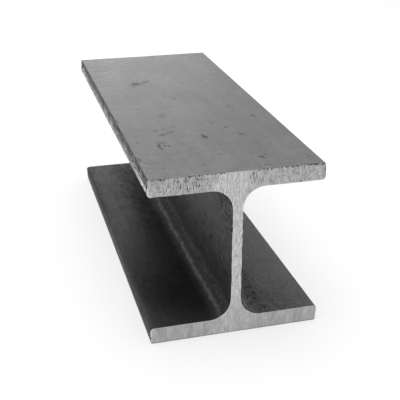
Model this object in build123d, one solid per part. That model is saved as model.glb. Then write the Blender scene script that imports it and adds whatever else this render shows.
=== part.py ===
from build123d import *
from math import atan2, cos, tan
import os

# Short saw-cut length of a hot-rolled steel I-beam with wide parallel flanges.
# All sizes are in millimetres. The beam lies along Y and stands on its lower flange,
# with the origin under its middle, so Z = 0 is the floor.

# Rolled section
section_height = 100.0
flange_width = 100.0
flange_thickness = 10.0
web_thickness = 6.0
root_radius = 12.0

# Flange edges: the rolls leave each edge leaning in towards the flange's outer face,
# well rounded at the corner on the web's side and nearly sharp at the outer corner.
toe_draft = 0.6
toe_inner_radius = 2.2
toe_outer_radius = 0.8

# Piece of stock
cut_length = 250.0


def both_sides(right):
    """Corners on the right of the web, then their mirror images on its left, in order round the section."""
    return right + [(-across, up) for across, up in reversed(right)]


def round_corners(section, corners, radius):
    """Rounds the section's outline where it has these corners."""
    fillet([section.vertices().sort_by_distance(corner)[0] for corner in corners], radius)


def i_beam():
    """The rolled section with its root fillets and rounded flange edges, sawn square to length."""
    # The rounding takes the tip off the leaning edge, so the sharp corner stands a little
    # outside the flange's full width and the finished flange is exactly that wide.
    lean = atan2(toe_draft, flange_thickness)
    lost_tip = toe_inner_radius * (tan(lean) + 1 / cos(lean) - 1)
    inner_toe = flange_width / 2 + lost_tip
    outer_toe = inner_toe - toe_draft
    half_web = web_thickness / 2
    lower_inside = flange_thickness
    upper_inside = section_height - flange_thickness
    right_side = [
        (outer_toe, 0),
        (inner_toe, lower_inside),
        (half_web, lower_inside),
        (half_web, upper_inside),
        (inner_toe, upper_inside),
        (outer_toe, section_height),
    ]
    roots = both_sides([(half_web, lower_inside), (half_web, upper_inside)])
    inner_toes = both_sides([(inner_toe, lower_inside), (inner_toe, upper_inside)])
    outer_toes = both_sides([(outer_toe, 0), (outer_toe, section_height)])
    with BuildPart() as beam:
        with BuildSketch(Plane.XZ) as section:
            with BuildLine():
                Polyline(*both_sides(right_side), close=True)
            make_face()
            round_corners(section, roots, root_radius)
            round_corners(section, inner_toes, toe_inner_radius)
            round_corners(section, outer_toes, toe_outer_radius)
        extrude(amount=cut_length / 2, both=True)
    return beam.part


os.makedirs("parts", exist_ok=True)
export_step(i_beam(), "parts/i_beam.step")
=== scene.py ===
"""Dressed model of a short, saw-cut length of hot-rolled steel I-beam on a white studio floor.

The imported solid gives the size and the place. A finely divided skin stands in for it here, with the
relief of rolling, handling and sawing in its mesh, and it is dressed in mill scale and in bright saw-cut
steel.
"""

import logging
import math
from dataclasses import dataclass
from enum import Enum
from typing import Any, Mapping, Optional, Sequence, Union

import bpy
import numpy as np
from mathutils import Matrix, Vector
from numpy.typing import NDArray


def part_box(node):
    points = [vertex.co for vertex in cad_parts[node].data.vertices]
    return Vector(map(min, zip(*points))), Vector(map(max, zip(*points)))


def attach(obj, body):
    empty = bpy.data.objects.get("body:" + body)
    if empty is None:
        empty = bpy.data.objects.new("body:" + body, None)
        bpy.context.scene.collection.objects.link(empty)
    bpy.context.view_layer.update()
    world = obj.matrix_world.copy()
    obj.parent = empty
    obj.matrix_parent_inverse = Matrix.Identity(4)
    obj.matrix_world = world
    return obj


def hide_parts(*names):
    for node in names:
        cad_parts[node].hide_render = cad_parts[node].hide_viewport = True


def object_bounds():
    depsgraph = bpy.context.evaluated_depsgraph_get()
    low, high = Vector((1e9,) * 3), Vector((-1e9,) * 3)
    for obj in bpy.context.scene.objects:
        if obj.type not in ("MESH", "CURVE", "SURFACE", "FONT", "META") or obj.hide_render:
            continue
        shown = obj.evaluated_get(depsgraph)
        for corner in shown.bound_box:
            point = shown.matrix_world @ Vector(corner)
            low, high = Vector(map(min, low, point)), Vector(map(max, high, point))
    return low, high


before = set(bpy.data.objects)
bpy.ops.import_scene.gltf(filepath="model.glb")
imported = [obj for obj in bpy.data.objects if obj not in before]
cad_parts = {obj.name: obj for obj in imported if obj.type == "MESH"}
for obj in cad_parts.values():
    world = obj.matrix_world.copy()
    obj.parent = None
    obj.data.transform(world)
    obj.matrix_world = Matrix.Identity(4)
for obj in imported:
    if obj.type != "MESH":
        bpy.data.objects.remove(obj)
cad_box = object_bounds()

Array = NDArray[np.float64]
Indices = NDArray[np.int64]
Range = tuple[float, float]
Triple = tuple[float, float, float]
Socket = bpy.types.NodeSocket
Value = Union[float, Sequence[float], Socket]

MM = 0.001
NODE = "i_beam"
STREAK_MAP = "rolled"
BAKE_MAP = "OFBake"
AS_IT_IS: Triple = (1.0, 1.0, 1.0)
DRAWN_OUT: Triple = (1.0, 0.6, 1.0)
# How far noise goes from one half before it counts in full
GENTLE = 0.2
STEEP = 0.15
log = logging.getLogger(NODE)


class SectionCorner(Enum):
    """Corners of the section in order round it, seen from the front end: a toe is a flange edge's outer
    corner, a lip its inner corner and a root the corner where the flange meets the web."""

    LOWER_LEFT_TOE = 0
    LOWER_RIGHT_TOE = 1
    LOWER_RIGHT_LIP = 2
    LOWER_RIGHT_ROOT = 3
    UPPER_RIGHT_ROOT = 4
    UPPER_RIGHT_LIP = 5
    UPPER_RIGHT_TOE = 6
    UPPER_LEFT_TOE = 7
    UPPER_LEFT_LIP = 8
    UPPER_LEFT_ROOT = 9
    LOWER_LEFT_ROOT = 10
    LOWER_LEFT_LIP = 11


class BeamEnd(Enum):
    """The two sawn ends, by the way that each one faces along the beam."""

    FRONT = -1
    BACK = 1


class Finish(Enum):
    """Material slots of the dressed beam, in order."""

    MILL_SCALE = 0
    SAWN_STEEL = 1


def unit(vectors: Array) -> Array:
    """Divides each row vector by its length."""
    return vectors / np.linalg.norm(vectors, axis=-1, keepdims=True)


def bell(offsets: Array, reach: float) -> Array:
    """Bell curve: 1 at no offset, falling as exp of minus the square of offset over reach."""
    return np.exp(-((offsets / reach) ** 2))


def ripple(points: Array, wavelength: float, seed: int, stretch: Triple = AS_IT_IS) -> Array:
    """Even random waviness: a sum of cosines of one wavelength with random directions and phases, scaled
    so that it spreads by a quarter about one half.

    Args:
        points: Places, one row of three coordinates each, in metres.
        wavelength: Length of every wave, in metres.
        seed: Start of the random draws.
        stretch: How much longer the waves are along each axis.

    Returns:
        One number a place, from 0 to 1.
    """
    waves = 24
    spread = 0.25
    draw = np.random.default_rng(seed)
    ways = unit(draw.normal(size=(waves, 3))) / np.asarray(stretch)
    phases = draw.uniform(0.0, 2.0 * math.pi, waves)
    total = np.cos(points @ ways.T * (2.0 * math.pi / wavelength) + phases).sum(axis=1)
    return np.clip(0.5 + spread * math.sqrt(2.0 / waves) * total, 0.0, 1.0)


@dataclass(frozen=True)
class Outline:
    """A closed outline with rounded corners.

    Attributes:
        points: Places round it, across and up, in metres.
        normals: Outward directions at the places.
        girth: Distance round from the first place to each place, and last the whole girth.
        arcs: First and last index of each corner's arc.
    """

    points: Array
    normals: Array
    girth: Array
    arcs: tuple[tuple[int, int], ...]

    def start(self, corner: SectionCorner) -> int:
        """Index where the corner's arc starts."""
        return self.arcs[corner.value][0]

    def end(self, corner: SectionCorner) -> int:
        """Index where the corner's arc ends."""
        return self.arcs[corner.value][1]

    def between(self, first: int, last: int) -> Indices:
        """Indices from first to last, both counted, going round past the start where needed."""
        count = len(self.points)
        return np.arange(first, last + 1 + (count if last < first else 0)) % count

    def on_run(self, corner: SectionCorner, share: float) -> int:
        """Index at a share of the straight run that follows a corner.

        Args:
            corner: Corner before the run.
            share: Share of the run, from 0 at that corner to 1 at the next one.

        Returns:
            Index of the nearest place.
        """
        follower = SectionCorner((corner.value + 1) % len(self.arcs))
        run = self.between(self.end(corner), self.start(follower))
        return int(run[round(share * (len(run) - 1))])

    def on_arc(self, corner: SectionCorner, share: float) -> int:
        """Index at a share of a corner's arc."""
        first, last = self.arcs[corner.value]
        return first + round(share * (last - first))

    def profile(self, levels: Mapping[int, float]) -> Array:
        """A number at every place, straight between the given ones along the girth.

        Args:
            levels: Number at each index that has one.

        Returns:
            One number a place.
        """
        places = self.girth[list(levels)]
        return np.interp(self.girth[:-1], places, list(levels.values()), period=self.girth[-1])


def rounded_outline(corners: Array, radii: Array, turns: Sequence[int], runs: Sequence[int]) -> Outline:
    """Rounds a polygon: with h half the angle at a corner and r its radius, the arc touches both sides
    r / tan h from the corner, and its centre lies r / sin h along the bisector.

    Args:
        corners: Corners in order, counter-clockwise, across and up.
        radii: Radius at each corner.
        turns: Divisions of each corner's arc.
        runs: Divisions of the straight run that follows each corner.

    Returns:
        The outline, with places spaced evenly on each arc and on each run.
    """
    before = unit(np.roll(corners, 1, axis=0) - corners)
    after = unit(np.roll(corners, -1, axis=0) - corners)
    half = 0.5 * np.arccos(np.clip((before * after).sum(axis=1), -1.0, 1.0))
    starts = corners + before * (radii / np.tan(half))[:, None]
    ends = corners + after * (radii / np.tan(half))[:, None]
    centres = corners + unit(before + after) * (radii / np.sin(half))[:, None]
    outward = np.sign(after[:, 0] * before[:, 1] - after[:, 1] * before[:, 0])
    points: list[Array] = []
    normals: list[Array] = []
    arcs: list[tuple[int, int]] = []
    count = 0
    for corner in range(len(corners)):
        first, last = starts[corner] - centres[corner], ends[corner] - centres[corner]
        angle = math.atan2(first[1], first[0])
        sweep = (math.atan2(last[1], last[0]) - angle + math.pi) % (2.0 * math.pi) - math.pi
        angles = angle + sweep * np.linspace(0.0, 1.0, turns[corner] + 1)
        rays = np.stack([np.cos(angles), np.sin(angles)], axis=1)
        follower = starts[(corner + 1) % len(corners)]
        share = np.linspace(0.0, 1.0, runs[corner] + 1)[1:-1, None]
        straight = ends[corner] * (1.0 - share) + follower * share
        way = unit(follower - ends[corner])
        points += [centres[corner] + radii[corner] * rays, straight]
        normals += [outward[corner] * rays, np.tile([way[1], -way[0]], (len(straight), 1))]
        arcs.append((count, count + turns[corner]))
        count += turns[corner] + 1 + len(straight)
    places = np.concatenate(points)
    steps = np.linalg.norm(np.roll(places, -1, axis=0) - places, axis=1)
    girth = np.concatenate([[0.0], np.cumsum(steps)])
    return Outline(places, np.concatenate(normals), girth, tuple(arcs))


def filled(bottom: Array, right: Array, top: Array, left: Array, fade: float) -> Array:
    """Fills a four-sided outline: straight lines from bottom to top, divided in height as the left side
    is, plus how far each side bulges from its own straight line, which fades out away from that side.

    Args:
        bottom: Places from left to right.
        right: Places from bottom to top.
        top: Places from left to right.
        left: Places from bottom to top.
        fade: Share of the way across over which a side's bulge fades out.

    Returns:
        Places in rows from bottom to top.
    """
    across = np.linspace(0.0, 1.0, len(bottom))[None, :, None]
    up = ((left[:, 1] - left[0, 1]) / (left[-1, 1] - left[0, 1]))[:, None, None]
    near_left = np.clip(1.0 - across / fade, 0.0, 1.0) ** 2
    near_right = np.clip(1.0 - (1.0 - across) / fade, 0.0, 1.0) ** 2
    left_bulge = left[:, None] - ((1.0 - up) * left[0] + up * left[-1])
    right_bulge = right[:, None] - ((1.0 - up) * right[0] + up * right[-1])
    return (1.0 - up) * bottom[None] + up * top[None] + near_left * left_bulge + near_right * right_bulge


@dataclass(frozen=True)
class RolledSection:
    """The rolled section: wide parallel flanges on a web, with root fillets and leaning, rounded flange
    edges."""

    width: float
    height: float
    flange_thickness: float = 10.0 * MM
    web_thickness: float = 6.0 * MM
    root_radius: float = 12.0 * MM
    toe_draft: float = 0.6 * MM
    lip_radius: float = 2.2 * MM
    toe_radius: float = 0.8 * MM
    toe_turns: int = 4
    lip_turns: int = 6
    root_turns: int = 32
    toe_runs: int = 8
    seat_runs: int = 16
    web_runs: int = 30
    web_columns: int = 8

    @property
    def flange_columns(self) -> int:
        """Divisions across a flange, which match those of its inner side and of the web's thickness."""
        return 2 * (self.seat_runs + self.root_turns) + self.web_columns

    def outline(self) -> Outline:
        """The section's rounded outline, counter-clockwise as seen from the front end.

        Returns:
            The outline, with the lip corners set out so that the rounded flange is exactly the section's
            width.
        """
        lean = math.atan2(self.toe_draft, self.flange_thickness)
        lip = self.width / 2 + self.lip_radius * (math.tan(lean) + 1.0 / math.cos(lean) - 1.0)
        toe = lip - self.toe_draft
        web = self.web_thickness / 2
        low, high = self.flange_thickness, self.height - self.flange_thickness
        right = np.array([(toe, 0.0), (lip, low), (web, low), (web, high), (lip, high), (toe, self.height)])
        left = right[::-1] * (-1.0, 1.0)
        corners = np.concatenate([left[-1:], right, left[:-1]])
        side_radii = [self.toe_radius, self.lip_radius, self.root_radius]
        side_turns = [self.toe_turns, self.lip_turns, self.root_turns]
        radii = np.array([side_radii[0], *side_radii, *side_radii[::-1], *side_radii, *side_radii[:0:-1]])
        turns = [side_turns[0], *side_turns, *side_turns[::-1], *side_turns, *side_turns[:0:-1]]
        up = [self.toe_runs, self.seat_runs, self.web_runs, self.seat_runs, self.toe_runs]
        runs = [self.flange_columns, *up, self.flange_columns, *up]
        return rounded_outline(corners, radii, turns, runs)


@dataclass(frozen=True)
class RollingRelief:
    """Relief that rolling, cooling and handling leave in the skin: depths below the nominal surface, and
    ridges in the root fillets. Lengths are in metres, angles in degrees from the web."""

    waviness: float = 0.06 * MM
    wave_length: float = 34.0 * MM
    wave_stretch: float = 2.6
    scale_depth: float = 0.05 * MM
    scale_length: float = 7.0 * MM
    scale_stretch: float = 1.4
    pit_count: int = 170
    pit_depth: float = 0.14 * MM
    pit_shares: Range = (0.25, 1.0)
    pit_sizes: Range = (0.9 * MM, 2.6 * MM)
    pit_squeeze: float = 0.6
    chip_count: int = 260
    chip_depth: float = 0.4 * MM
    chip_shares: Range = (0.1, 1.0)
    chip_sizes: Range = (0.4 * MM, 1.2 * MM)
    chip_reach: float = 0.55 * MM
    ridge_height: float = 0.3 * MM
    ridge_angle: float = 58.0
    ridge_width: float = 7.5
    second_angle: float = 47.0
    second_share: float = 0.2
    wander: float = 4.0
    wander_lengths: Range = (8.0 * MM, 40.0 * MM)
    least_ridge: float = 0.7
    fading_length: float = 13.0 * MM
    seed: int = 41

    def depth(self, places: Array, girth: Array, whole_girth: float, half_length: float) -> Array:
        """Depth of the skin at each place: slow waviness, drawn out along the beam, finer relief of the
        scale, pits and the nicks at the sawn edges.

        Args:
            places: Places on the nominal skin.
            girth: Distance round the section at each place.
            whole_girth: Distance once round the section.
            half_length: Half the beam's length.

        Returns:
            Depths, none below zero.
        """
        long_waves = (1.0, self.wave_stretch, 1.0)
        long_flakes = (1.0, self.scale_stretch, 1.0)
        slow = self.waviness * ripple(places, self.wave_length, self.seed, long_waves)
        fine = self.scale_depth * ripple(places, self.scale_length, self.seed + 1, long_flakes)
        pits = self.pits(girth, places[:, 1], whole_girth, half_length)
        return slow + fine + pits + self.chips(girth, half_length - np.abs(places[:, 1]), whole_girth)

    def pits(self, girth: Array, along: Array, whole_girth: float, half_length: float) -> Array:
        """Shallow pits, a little longer along the beam: a sum of bell curves at random places on the
        unrolled skin.

        Args:
            girth: Distance round the section at each place.
            along: Distance along the beam at each place.
            whole_girth: Distance once round the section.
            half_length: Half the beam's length.

        Returns:
            Depth of the pits at each place.
        """
        draw = np.random.default_rng(self.seed + 2)
        depth = np.zeros(len(girth))
        for _ in range(self.pit_count):
            middle = draw.uniform(0.0, whole_girth), draw.uniform(-half_length, half_length)
            size = draw.uniform(*self.pit_sizes)
            deep = self.pit_depth * draw.uniform(*self.pit_shares)
            depth += deep * bell(np.hypot(girth - middle[0], self.pit_squeeze * (along - middle[1])), size)
        return depth

    def chips(self, girth: Array, from_end: Array, whole_girth: float) -> Array:
        """Nicks where scale has flaked from a sawn edge: bell curves round the edge that fade away from
        the end.

        Args:
            girth: Distance round the section at each place.
            from_end: Distance from the nearer sawn end at each place.
            whole_girth: Distance once round the section.

        Returns:
            Depth of the nicks at each place.
        """
        draw = np.random.default_rng(self.seed + 3)
        depth = np.zeros(len(girth))
        for _ in range(self.chip_count):
            middle = draw.uniform(0.0, whole_girth)
            size = draw.uniform(*self.chip_sizes)
            deep = self.chip_depth * draw.uniform(*self.chip_shares) ** 2
            depth = np.maximum(depth, deep * bell(girth - middle, size))
        return depth * bell(from_end, self.chip_reach)

    def ridge(self, outline: Outline, stations: Array) -> Array:
        """Share of the full ridge that the rolls leave along each root fillet: two bell curves of the
        angle from the web, which wander and come and go along the beam.

        Args:
            outline: Outline of the section.
            stations: Places along the beam.

        Returns:
            Share, up to about 1, in rows along the beam.
        """
        share = np.zeros((len(stations), len(outline.points)))
        from_web = {
            SectionCorner.LOWER_LEFT_ROOT: 1,
            SectionCorner.LOWER_RIGHT_ROOT: -1,
            SectionCorner.UPPER_RIGHT_ROOT: 1,
            SectionCorner.UPPER_LEFT_ROOT: -1,
        }
        line = np.stack([stations, np.zeros_like(stations), np.zeros_like(stations)], axis=1)
        short, long = self.wander_lengths
        for corner, order in from_web.items():
            arc = outline.between(outline.start(corner), outline.end(corner))
            angles = np.linspace(0.0, 90.0, len(arc))[::order]
            seed = self.seed + 10 * (corner.value + 1)
            wander = self.wander * (ripple(line, short, seed) + ripple(line, long, seed + 2) - 1.0)[:, None]
            fading = ripple(line, self.fading_length, seed + 1)[:, None]
            strength = self.least_ridge + (1.0 - self.least_ridge) * fading
            main = bell(angles - self.ridge_angle - wander, self.ridge_width)
            second = self.second_share * bell(angles - self.second_angle - wander, self.ridge_width)
            share[:, arc] = strength * (main + second)
        return share


@dataclass(frozen=True)
class SawRelief:
    """Relief of a sawn end: the cut lies a little inside the full length, and a burr stands up to it."""

    recess: float = 0.2 * MM
    groove_depth: float = 0.1 * MM
    groove_length: float = 2.6 * MM
    groove_stretch: float = 14.0
    groove_share: float = 0.6
    wave_length: float = 15.0 * MM
    wave_stretch: float = 3.0
    burr_reach: float = 0.65 * MM
    seed: int = 67

    def depth(self, places: Array, burr: Array) -> Array:
        """Depth of the cut face: upright grooves of the blade, drawn out in height, over slow waves,
        except where the burr stands up.

        Args:
            places: Places on the nominal end face.
            burr: Share of the full burr at each place.

        Returns:
            Depths below the end's plane.
        """
        grooves = ripple(places, self.groove_length, self.seed, (1.0, 1.0, self.groove_stretch))
        waves = ripple(places, self.wave_length, self.seed + 1, (1.0, 1.0, self.wave_stretch))
        uneven = self.groove_share * grooves + (1.0 - self.groove_share) * waves
        return (self.recess + self.groove_depth * uneven) * (1.0 - burr)


@dataclass(frozen=True)
class Texture:
    """Cloudy noise of one size.

    Attributes:
        scale: Cells to the metre, before the stretch.
        detail: Number of finer layers on top.
        roughness: Strength of each finer layer beside the one before.
        stretch: Multiplier of the coordinates along each axis; a small one draws the noise out.
    """

    scale: float
    detail: float = 2.0
    roughness: float = 0.5
    stretch: Triple = AS_IT_IS


class NodeGraph:
    """Short hand for building a tree of shader nodes out of sockets and plain values."""

    def __init__(self, tree: bpy.types.NodeTree) -> None:
        """Takes a tree and empties it."""
        self.tree = tree
        tree.nodes.clear()

    def add(
        self, kind: str, inputs: Optional[Mapping[Any, Value]] = None, **settings: Any
    ) -> bpy.types.Node:
        """Adds a node.

        Args:
            kind: Blender's name for the node type.
            inputs: Value or socket for each input, by name or number.
            settings: Properties of the node.

        Returns:
            The new node.
        """
        node = self.tree.nodes.new(kind)
        for name, setting in settings.items():
            setattr(node, name, setting)
        for key, value in (inputs or {}).items():
            self.feed(node.inputs[key], value)
        return node

    def feed(self, socket: Socket, value: Value) -> None:
        """Links a socket to another one, or sets its value.

        Args:
            socket: Input to feed.
            value: Socket to link it to, or plain value to set.
        """
        if isinstance(value, bpy.types.NodeSocket):
            self.tree.links.new(value, socket)
        else:
            socket.default_value = value

    def math(self, operation: str, *values: Value) -> Socket:
        """One arithmetic step on numbers or sockets."""
        return self.add("ShaderNodeMath", dict(enumerate(values)), operation=operation).outputs[0]

    def fold(self, operation: str, first: Value, second: Value, *others: Value) -> Socket:
        """Takes one arithmetic step after another through several values.

        Args:
            operation: Blender's name for the step.
            first: First value.
            second: Second value.
            others: Values after those, in order.

        Returns:
            The last result.
        """
        result = self.math(operation, first, second)
        for other in others:
            result = self.math(operation, result, other)
        return result

    def total(self, *values: Value) -> Socket:
        """All the values added up."""
        return self.fold("ADD", *values)

    def product(self, *values: Value) -> Socket:
        """All the values multiplied together."""
        return self.fold("MULTIPLY", *values)

    def largest(self, *values: Value) -> Socket:
        """The largest of the values."""
        return self.fold("MAXIMUM", *values)

    def covered(self, *layers: Value) -> Socket:
        """Share that several layers cover together: one minus the product of what each leaves open."""
        gaps = [self.math("SUBTRACT", 1.0, layer) for layer in layers]
        return self.math("SUBTRACT", 1.0, self.product(*gaps))

    def blend(self, low: Value, high: Value, share: Value) -> Socket:
        """Moves from low to high as share goes from 0 to 1."""
        return self.add("ShaderNodeMix", {0: share, 2: low, 3: high}, data_type="FLOAT").outputs[0]

    def ease(self, value: Value, low: Value, high: Value, start: Value = 0.0, stop: Value = 1.0) -> Socket:
        """Eases from start, where value is at low, to stop, where it is at high.

        Args:
            value: Socket to ease.
            low: Value that gives start.
            high: Value that gives stop.
            start: Result at low.
            stop: Result at high.

        Returns:
            The eased value.
        """
        inputs = {"Value": value, "From Min": low, "From Max": high, "To Min": start, "To Max": stop}
        return self.add("ShaderNodeMapRange", inputs, interpolation_type="SMOOTHSTEP").outputs[0]

    def swing(self, noise: Socket, start: Value, stop: Value, reach: float = GENTLE) -> Socket:
        """Eases from start to stop as noise goes from reach below one half to reach above it."""
        return self.ease(noise, 0.5 - reach, 0.5 + reach, start, stop)

    def sway(self, noise: Socket, amount: float, reach: float = GENTLE) -> Socket:
        """Noise as a number on either side of zero, from minus amount to amount."""
        return self.swing(noise, -amount, amount, reach)

    def vector(self, operation: str, *values: Value) -> bpy.types.Node:
        """One step of vector arithmetic."""
        return self.add("ShaderNodeVectorMath", dict(enumerate(values)), operation=operation)

    def stretched(self, places: Socket, scale: Triple) -> Socket:
        """Coordinates multiplied axis by axis, so that a pattern is drawn out along the small ones."""
        return self.vector("MULTIPLY", places, scale).outputs[0]

    def axes(self, places: Socket) -> tuple[Socket, Socket, Socket]:
        """Coordinates taken apart: across, along and up."""
        return tuple(self.add("ShaderNodeSeparateXYZ", {0: places}).outputs)

    def noise(self, places: Socket, texture: Texture) -> Socket:
        """Cloudy noise from 0 to 1, about 0.5 on average.

        Args:
            places: Coordinates that it lies on.
            texture: Its size and make.

        Returns:
            The noise.
        """
        inputs = {
            "Vector": self.stretched(places, texture.stretch),
            "Scale": texture.scale,
            "Detail": texture.detail,
            "Roughness": texture.roughness,
        }
        return self.add("ShaderNodeTexNoise", inputs).outputs["Fac"]

    def attribute(self, name: str) -> Socket:
        """A number that the mesh carries at its vertices."""
        return self.add("ShaderNodeAttribute", attribute_name=name).outputs["Fac"]

    def bump(self, height: Socket, distance: float, under: Optional[Socket] = None) -> Socket:
        """Surface direction bent by a height pattern.

        Args:
            height: Pattern from 0 to 1.
            distance: Height of the full pattern, in metres.
            under: Another bump that this one lies on.

        Returns:
            The direction.
        """
        inputs: dict[Any, Value] = {"Strength": 1.0, "Distance": distance, "Height": height}
        if under is not None:
            inputs["Normal"] = under
        return self.add("ShaderNodeBump", inputs).outputs[0]

    def metal(self, tone: Socket, metallic: float, roughness: Socket, normal: Socket) -> None:
        """Puts a metal surface on the tree's output.

        Args:
            tone: Grey of the metal.
            metallic: How far it mirrors as bare metal does.
            roughness: How blurred its reflections are.
            normal: Surface direction with its bumps.
        """
        inputs = {"Base Color": tone, "Metallic": metallic, "Roughness": roughness, "Normal": normal}
        self.surface(self.add("ShaderNodeBsdfPrincipled", inputs))

    def surface(self, shader: bpy.types.Node) -> None:
        """Puts a shader on the tree's output."""
        output = self.add("ShaderNodeOutputMaterial")
        self.tree.links.new(shader.outputs[0], output.inputs["Surface"])


def new_material(name: str) -> tuple[bpy.types.Material, NodeGraph]:
    """Starts a node material.

    Args:
        name: Its name.

    Returns:
        The material, and the graph that fills it.
    """
    material = bpy.data.materials.new(name)
    material.use_nodes = True
    return material, NodeGraph(material.node_tree)


@dataclass(frozen=True)
class Mark:
    """A dark mark on the upper flange: a worn or dented spot where the scale is broken.

    Attributes:
        across: Place of its middle across the beam, in millimetres.
        along: Place of its middle along the beam, in millimetres.
        length: Its length, in millimetres.
        width: Its width, in millimetres.
        turn: Angle of its length from the across direction, in degrees.
        strength: How dark it is, from 0 to 1.
    """

    across: float
    along: float
    length: float
    width: float
    turn: float
    strength: float


TOP_MARKS = (
    Mark(-21, 48.5, 9.5, 11, 15, 0.55),
    Mark(-13.5, 52, 8, 6.5, 10, 0.4),
    Mark(-24, 43, 4, 7, 0, 0.25),
    Mark(-26.5, -59.5, 8, 3.6, 35, 0.55),
    Mark(-23.2, -57.5, 8, 2.8, 33, 0.5),
    Mark(-20, -55.5, 7, 3.2, 35, 0.5),
    Mark(-29, -51.5, 3, 4, 0, 0.35),
    Mark(-18, -46.5, 5, 7, 0, 0.25),
    Mark(-19, -24.5, 6, 13, 0, 0.25),
    Mark(-32.5, -76, 2.6, 9, 0, 0.75),
    Mark(-30, -72.5, 4.8, 3.2, 10, 0.65),
    Mark(-29.4, -77, 2, 6, 15, 0.5),
    Mark(-32, -81.5, 3.8, 4.6, 0, 0.75),
    Mark(-27, -78.5, 4.4, 3.4, 20, 0.5),
    Mark(-3.5, -68, 3.4, 9.5, 10, 0.85),
    Mark(13.7, -55, 3.6, 3.8, 0, 0.5),
    Mark(19, -69, 3.6, 5, 0, 0.55),
    Mark(13.8, -80.5, 3, 5.5, 0, 0.25),
    Mark(23.6, -84.7, 2, 3.5, 0, 0.3),
    Mark(36.8, -38.5, 3.2, 8, 0, 0.45),
    Mark(28, -16.7, 5.5, 9, 0, 0.25),
    Mark(7.4, -45, 2.8, 6.5, 0, 0.3),
    Mark(-3, 10, 2.2, 6, 0, 0.3),
    Mark(26.5, 48, 3, 9, 0, 0.2),
    Mark(18.7, -108, 3.6, 5, 0, 1.0),
    Mark(21.5, -104.5, 3.8, 2.6, 20, 0.65),
    Mark(17.2, -119, 2.4, 3, 0, 0.55),
    Mark(7.3, -112, 2.4, 3.6, 0, 0.35),
    Mark(-2, -97.5, 4.4, 2.8, 0, 0.25),
    Mark(-14, -93, 3, 2.6, 0, 0.3),
    Mark(-20, -96, 2, 6, 0, 0.25),
    Mark(-15.5, -111, 3.6, 2.6, 0, 0.3),
    Mark(39.8, -97, 8, 8, 0, 0.25),
    Mark(44.4, -113, 3, 7.5, 20, 0.3),
    Mark(-43.6, -68.5, 3.2, 3.6, 0, 0.5),
    Mark(-48, -95.5, 2.6, 9, 0, 0.6),
    Mark(-48.4, -29, 2.4, 6, 0, 0.5),
    Mark(-37.5, -111, 2, 3, 0, 0.6),
    Mark(-43.5, -103, 18, 1.0, -58, 0.5),
    Mark(-41, -99, 13, 0.8, -48, 0.25),
)


@dataclass(frozen=True)
class EdgeChips:
    """Dark dots along a sawn edge, where the scale has broken away."""

    dots: Texture = Texture(1.0, 3.0, 0.6, (900.0, 450.0, 900.0))
    patches: Texture = Texture(80.0)
    patch_share: float = 0.06
    web_edge: Range = (5.0 * MM, 13.0 * MM)
    web_share: float = 0.14
    reach: float = 2.2 * MM
    at_edge: float = 0.03
    past_reach: float = -0.25
    limits: Range = (0.5, 0.58)

    def darkness(self, graph: NodeGraph, places: Socket, from_edge: Value) -> Socket:
        """Darkness of the dots: noise that must be the higher the further it is from the edge, in
        patches, and rare over the web.

        Args:
            graph: Graph to build in.
            places: Object coordinates.
            from_edge: Distance from the edge.

        Returns:
            Darkness from 0 to 1.
        """
        patches = graph.sway(graph.noise(places, self.patches), self.patch_share)
        off_middle = graph.math("ABSOLUTE", graph.axes(places)[0])
        over_web = graph.ease(off_middle, *self.web_edge, -self.web_share, 0.0)
        fade = graph.ease(from_edge, 0.0, self.reach, self.at_edge, self.past_reach)
        level = graph.total(over_web, fade, patches, graph.noise(places, self.dots))
        return graph.ease(level, *self.limits)


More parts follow.
